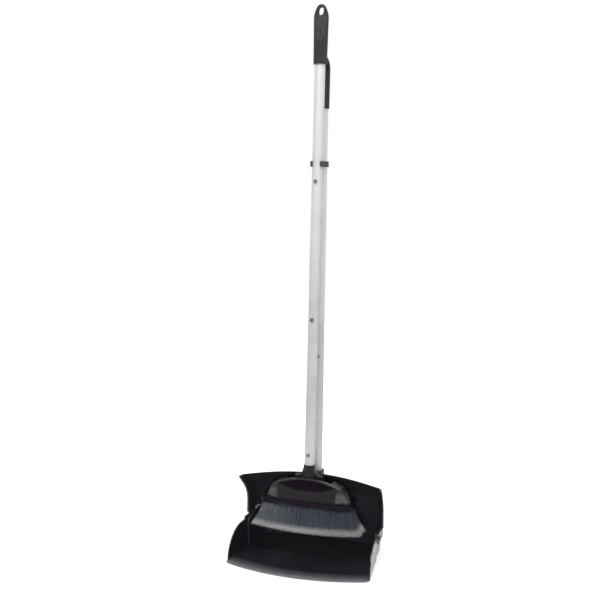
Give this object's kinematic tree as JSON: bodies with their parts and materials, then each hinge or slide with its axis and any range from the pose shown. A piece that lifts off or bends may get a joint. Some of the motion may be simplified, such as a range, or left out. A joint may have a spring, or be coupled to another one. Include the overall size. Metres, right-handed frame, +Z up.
{
  "type": "dustpan and broom set",
  "caption": "Upright lobby dustpan with a hinged front tray on a sectional handle, and a long-handled broom with an arched head held in a clip on it.",
  "frame": {"origin": "on the floor, under the axis of the pan's upright handle", "axes": "+X to the right, -Y to the front where the sweeping lip is, +Z up"},
  "size_m": [0.2772, 0.2088, 1.0102],
  "materials": {
    "pan_plastic": "glossy",
    "black_plastic": "satin",
    "grip_plastic": "satin",
    "satin_tube": "satin",
    "steel": "satin",
    "button_plastic": "glossy",
    "lip_rubber": "satin",
    "fibre": "matt"
  },
  "bodies": {
    "pan": {"pan_hood": "pan_plastic", "handle_bolt": "steel", "handle_nut": "steel", "pan_lower_tube": "satin_tube", "pan_middle_tube": "satin_tube", "pan_upper_tube": "satin_tube", "pan_lower_spring": "steel", "pan_upper_spring": "steel", "pan_grip": "grip_plastic", "broom_clip": "black_plastic", "clip_screw": "steel", "hinge_pins": "pan_plastic"},
    "tray": {"pan_tray": "pan_plastic", "tray_lip": "lip_rubber"},
    "broom": {"broom_grip": "grip_plastic", "broom_upper_tube": "satin_tube", "broom_middle_tube": "satin_tube", "broom_lower_tube": "satin_tube", "broom_lower_spring": "steel", "broom_middle_spring": "steel", "broom_upper_spring": "steel", "broom_ferrule": "black_plastic", "broom_stub": "satin_tube", "broom_block": "black_plastic", "tuft_plate": "black_plastic", "plate_screws": "steel", "bristle_row_front": "fibre", "bristle_row_front_mid": "fibre", "bristle_row_rear_mid": "fibre", "bristle_row_rear": "fibre"},
    "pan_lower_button": {"pan_lower_button": "button_plastic"},
    "pan_upper_button": {"pan_upper_button": "button_plastic"},
    "broom_lower_button": {"broom_lower_button": "button_plastic"},
    "broom_middle_button": {"broom_middle_button": "button_plastic"},
    "broom_upper_button": {"broom_upper_button": "button_plastic"}
  },
  "joints": [
    {"name": "tray_hinge", "type": "hinge", "parent": "pan", "child": "tray", "pos_m": [0, -0.033, 0.046], "axis": [-1, 0, 0], "range_deg": [0, 50]},
    {"name": "broom_pull", "type": "slide", "parent": "pan", "child": "broom", "axis": [0, -0.6428, 0.766], "range_m": [0, 0.25], "deforming": ["broom_clip"]},
    {"name": "pan_lower_button_press", "type": "slide", "parent": "pan", "child": "pan_lower_button", "axis": [0, 1, 0], "range_m": [0, 0.0034], "stiffness_N_per_m": 800, "springref_m": -0.003, "deforming": ["pan_lower_spring"]},
    {"name": "pan_upper_button_press", "type": "slide", "parent": "pan", "child": "pan_upper_button", "axis": [0, 1, 0], "range_m": [0, 0.0034], "stiffness_N_per_m": 800, "springref_m": -0.003, "deforming": ["pan_upper_spring"]},
    {"name": "broom_lower_button_press", "type": "slide", "parent": "broom", "child": "broom_lower_button", "axis": [0, 0.9992, -0.04], "range_m": [0, 0.0034], "stiffness_N_per_m": 800, "springref_m": -0.003, "deforming": ["broom_lower_spring"]},
    {"name": "broom_middle_button_press", "type": "slide", "parent": "broom", "child": "broom_middle_button", "axis": [0, 0.9992, -0.04], "range_m": [0, 0.0034], "stiffness_N_per_m": 800, "springref_m": -0.003, "deforming": ["broom_middle_spring"]},
    {"name": "broom_upper_button_press", "type": "slide", "parent": "broom", "child": "broom_upper_button", "axis": [0, 0.9992, -0.04], "range_m": [0, 0.0034], "stiffness_N_per_m": 800, "springref_m": -0.003, "deforming": ["broom_upper_spring"]}
  ]
}
